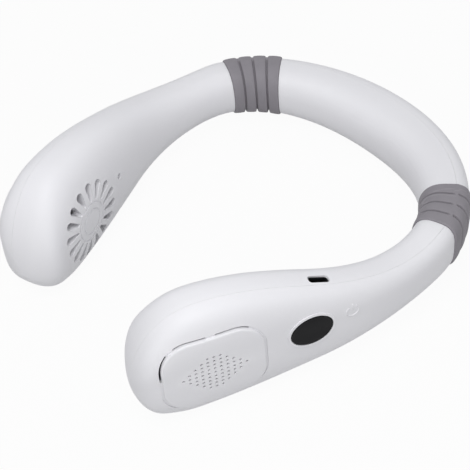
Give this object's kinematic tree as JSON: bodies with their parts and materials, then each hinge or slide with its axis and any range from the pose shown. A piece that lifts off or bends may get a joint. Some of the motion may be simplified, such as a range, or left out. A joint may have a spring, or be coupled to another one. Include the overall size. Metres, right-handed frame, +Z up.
{
  "type": "neck fan",
  "caption": "White C-shaped wearable neck fan with ribbed grey hinge sleeves, radial inner vents, a perforated intake cover on each pod, a black power button and a USB socket.",
  "frame": {"origin": "middle of the bounding box in plan, at the level of the rest flats", "axes": "+X toward the wearer's left arm with the button, +Y toward the arch at the back of the neck, +Z up"},
  "size_m": [0.1708, 0.202, 0.0598],
  "materials": {
    "white_plastic": "satin",
    "white_fan_plastic": "satin",
    "grey_rubber": "matte",
    "black_button": "satin",
    "dark_nylon": "matte",
    "steel": "brushed",
    "brass": "turned",
    "iron_core": "stamped",
    "magnet": "sintered",
    "battery_wrap": "shrink film",
    "green_board": "solder mask",
    "black_cable": "matte"
  },
  "bodies": {
    "arch": {"arch_outer_shell": "white_plastic", "arch_inner_shell": "white_plastic", "arch_cable": "black_cable", "left_sleeve": "grey_rubber", "left_hinge_tongue": "dark_nylon", "left_tongue_screw": "steel", "left_joint_cable": "black_cable", "right_sleeve": "grey_rubber", "right_hinge_tongue": "dark_nylon", "right_tongue_screw": "steel", "right_joint_cable": "black_cable"},
    "left_arm": {"left_outer_shell": "white_plastic", "left_inner_shell": "white_plastic", "left_intake_cover": "white_plastic", "left_hinge_fork": "dark_nylon", "left_hinge_pin": "steel", "left_hinge_washer_upper": "dark_nylon", "left_hinge_washer_lower": "dark_nylon", "left_fork_screw": "steel", "left_shell_screw": "steel", "left_battery": "battery_wrap", "left_arm_cable": "black_cable", "left_fan_duct": "white_fan_plastic", "left_motor_base": "white_fan_plastic", "left_motor_screw_1": "steel", "left_motor_screw_2": "steel", "left_bush": "brass", "left_stator": "iron_core", "control_board": "green_board", "switch_housing": "dark_nylon", "usb_shell": "steel", "usb_tongue": "dark_nylon"},
    "right_arm": {"right_outer_shell": "white_plastic", "right_inner_shell": "white_plastic", "right_intake_cover": "white_plastic", "right_hinge_fork": "dark_nylon", "right_hinge_pin": "steel", "right_hinge_washer_upper": "dark_nylon", "right_hinge_washer_lower": "dark_nylon", "right_fork_screw": "steel", "right_shell_screw": "steel", "right_battery": "battery_wrap", "right_arm_cable": "black_cable", "right_fan_duct": "white_fan_plastic", "right_motor_base": "white_fan_plastic", "right_motor_screw_1": "steel", "right_motor_screw_2": "steel", "right_bush": "brass", "right_stator": "iron_core"},
    "left_rotor": {"left_impeller": "white_fan_plastic", "left_rotor_can": "steel", "left_magnet_ring": "magnet", "left_shaft": "steel"},
    "right_rotor": {"right_impeller": "white_fan_plastic", "right_rotor_can": "steel", "right_magnet_ring": "magnet", "right_shaft": "steel"},
    "button": {"power_button": "black_button", "switch_plunger": "black_button"}
  },
  "joints": [
    {"name": "left_spread", "type": "hinge", "parent": "arch", "child": "left_arm", "pos_m": [0.06517, 0.05527, 0.02239], "axis": [0, 0, 1], "range_deg": [-8, 30], "deforming": ["left_sleeve", "left_joint_cable"]},
    {"name": "right_spread", "type": "hinge", "parent": "arch", "child": "right_arm", "pos_m": [-0.06517, 0.05527, 0.02239], "axis": [0, 0, -1], "range_deg": [-8, 30], "deforming": ["right_sleeve", "right_joint_cable"]},
    {"name": "left_fan", "type": "hinge", "parent": "left_arm", "child": "left_rotor", "pos_m": [0.05183, -0.06765, 0.0279], "axis": [0.9336, -0.3584, 0], "continuous": true},
    {"name": "right_fan", "type": "hinge", "parent": "right_arm", "child": "right_rotor", "pos_m": [-0.05183, -0.06765, 0.0279], "axis": [-0.9336, -0.3584, 0], "continuous": true},
    {"name": "power_press", "type": "slide", "parent": "left_arm", "child": "button", "axis": [-0.9336, 0.3584, 0], "range_m": [0, 0.0007], "stiffness_N_per_m": 800, "springref_m": -0.0005}
  ]
}
